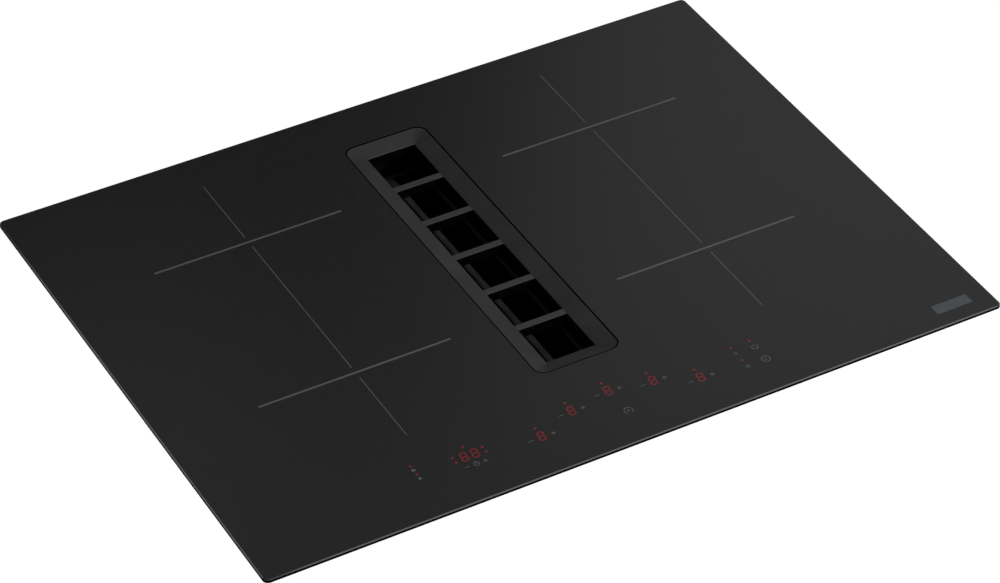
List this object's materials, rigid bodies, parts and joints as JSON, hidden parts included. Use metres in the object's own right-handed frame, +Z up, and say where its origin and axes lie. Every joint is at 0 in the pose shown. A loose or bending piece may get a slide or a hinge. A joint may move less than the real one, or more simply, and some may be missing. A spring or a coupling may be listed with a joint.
{
  "type": "downdraft induction cooktop",
  "caption": "Built-in induction cooktop: black glass with a dished central air grille, touch controls, filter basket, fan housing and flat rear duct spigot below.",
  "frame": {"origin": "centre of the glass, on the plane of the worktop that the rim seal rests on", "axes": "+X across the glass to the right of the user, +Y away from the user to the wall, +Z up"},
  "size_m": [0.7, 0.528, 0.2105],
  "materials": {
    "black_glass": "satin black glass ceramic, opaque",
    "black_foam": "closed-cell foam",
    "grille_black": "fine satin coating on die-cast metal",
    "black_rubber": "matt",
    "filter_dark_steel": "dark satin coating",
    "filter_mesh_steel": "dark coated slotted sheet",
    "pan_steel": "pressed steel",
    "shaft_black": "fine grained moulding",
    "zinc_sheet": "galvanised sheet",
    "ferrite": "matt",
    "sensor_white": "silicone cap",
    "support_plastic": "glass-filled moulding",
    "carrier_plastic": "moulded",
    "board_green": "solder mask",
    "display_red": "diffusing red moulding",
    "box_grey": "moulded",
    "terminal_white": "moulded",
    "gland_black": "moulded",
    "scroll_grey": "moulded",
    "wheel_grey": "moulded",
    "rotor_steel": "zinc coated",
    "shaft_steel": "ground",
    "stator_copper": "enamelled copper on laminations",
    "bearing_steel": "ground",
    "bracket_aluminium": "die cast",
    "tank_plastic": "moulded",
    "clamp_steel": "zinc plated",
    "screw_steel": "zinc plated",
    "winding_copper": "enamelled copper strand",
    "mica": "mica laminate",
    "plate_aluminium": "rolled",
    "sink_aluminium": "extruded",
    "parts_dark": "moulded",
    "blower_black": "moulded"
  },
  "bodies": {
    "hob": {"glass_top": "black_glass", "rim_gasket": "black_foam", "intake_shaft": "shaft_black", "shaft_seal": "black_foam", "base_tray": "zinc_sheet", "coil_ferrites": "ferrite", "coil_sensors": "sensor_white", "plate_supports": "support_plastic", "touch_carrier": "carrier_plastic", "touch_board": "board_green", "display_modules": "display_red", "mains_box": "box_grey", "mains_cover": "box_grey", "terminal_block": "terminal_white", "cable_gland": "gland_black", "fan_board": "board_green", "plenum_box": "zinc_sheet", "drain_spout": "shaft_black", "volute_upper": "scroll_grey", "volute_lower": "scroll_grey", "motor_stator": "stator_copper", "motor_bearings": "bearing_steel", "motor_bracket": "bracket_aluminium", "motor_mounts": "black_rubber", "outlet_spigot": "scroll_grey", "lower_housing": "zinc_sheet", "clamp_brackets": "clamp_steel", "clamp_screws": "screw_steel", "housing_screws": "screw_steel", "coil_winding_front_left": "winding_copper", "coil_carrier_front_left": "carrier_plastic", "coil_winding_front_right": "winding_copper", "coil_carrier_front_right": "carrier_plastic", "coil_winding_rear_left": "winding_copper", "coil_carrier_rear_left": "carrier_plastic", "coil_winding_rear_right": "winding_copper", "coil_carrier_rear_right": "carrier_plastic", "mica_left": "mica", "coil_plate_left": "plate_aluminium", "power_board_left": "board_green", "heatsink_left": "sink_aluminium", "board_parts_left": "parts_dark", "blower_case_left": "blower_black", "mica_right": "mica", "coil_plate_right": "plate_aluminium", "power_board_right": "board_green", "heatsink_right": "sink_aluminium", "board_parts_right": "parts_dark", "blower_case_right": "blower_black"},
    "grille": {"intake_grille": "grille_black", "grille_pads": "black_rubber"},
    "filter": {"filter_frame": "filter_dark_steel", "filter_mesh": "filter_mesh_steel"},
    "drip_pan": {"drip_tray": "pan_steel"},
    "fan_wheel": {"impeller": "wheel_grey", "motor_rotor": "rotor_steel", "motor_shaft": "shaft_steel"},
    "blower_wheel_left": {"blower_rotor_left": "blower_black"},
    "blower_wheel_right": {"blower_rotor_right": "blower_black"},
    "tank": {"overflow_tank": "tank_plastic"}
  },
  "joints": [
    {"name": "grille_lift", "type": "slide", "parent": "hob", "child": "grille", "axis": [0, 0, 1], "range_m": [0, 0.3]},
    {"name": "filter_lift", "type": "slide", "parent": "hob", "child": "filter", "axis": [0, 0, 1], "range_m": [0, 0.18]},
    {"name": "drip_tray_lift", "type": "slide", "parent": "hob", "child": "drip_pan", "axis": [0, 0, 1], "range_m": [0, 0.12]},
    {"name": "fan_spin", "type": "hinge", "parent": "hob", "child": "fan_wheel", "pos_m": [0.138, 0.106, -0.16], "axis": [0, 0, 1], "continuous": true},
    {"name": "blower_spin_left", "type": "hinge", "parent": "hob", "child": "blower_wheel_left", "pos_m": [-0.1715, -0.093, -0.035], "axis": [0, 0, 1], "continuous": true},
    {"name": "blower_spin_right", "type": "hinge", "parent": "hob", "child": "blower_wheel_right", "pos_m": [0.1715, -0.093, -0.035], "axis": [0, 0, 1], "continuous": true},
    {"name": "tank_slide", "type": "slide", "parent": "hob", "child": "tank", "axis": [0, -1, 0], "range_m": [0, 0.13]}
  ],
  "couplings": [
    {"joint": "filter_lift", "follows": "grille_lift", "ratio": 0.6},
    {"joint": "drip_tray_lift", "follows": "grille_lift", "ratio": 0.4}
  ]
}
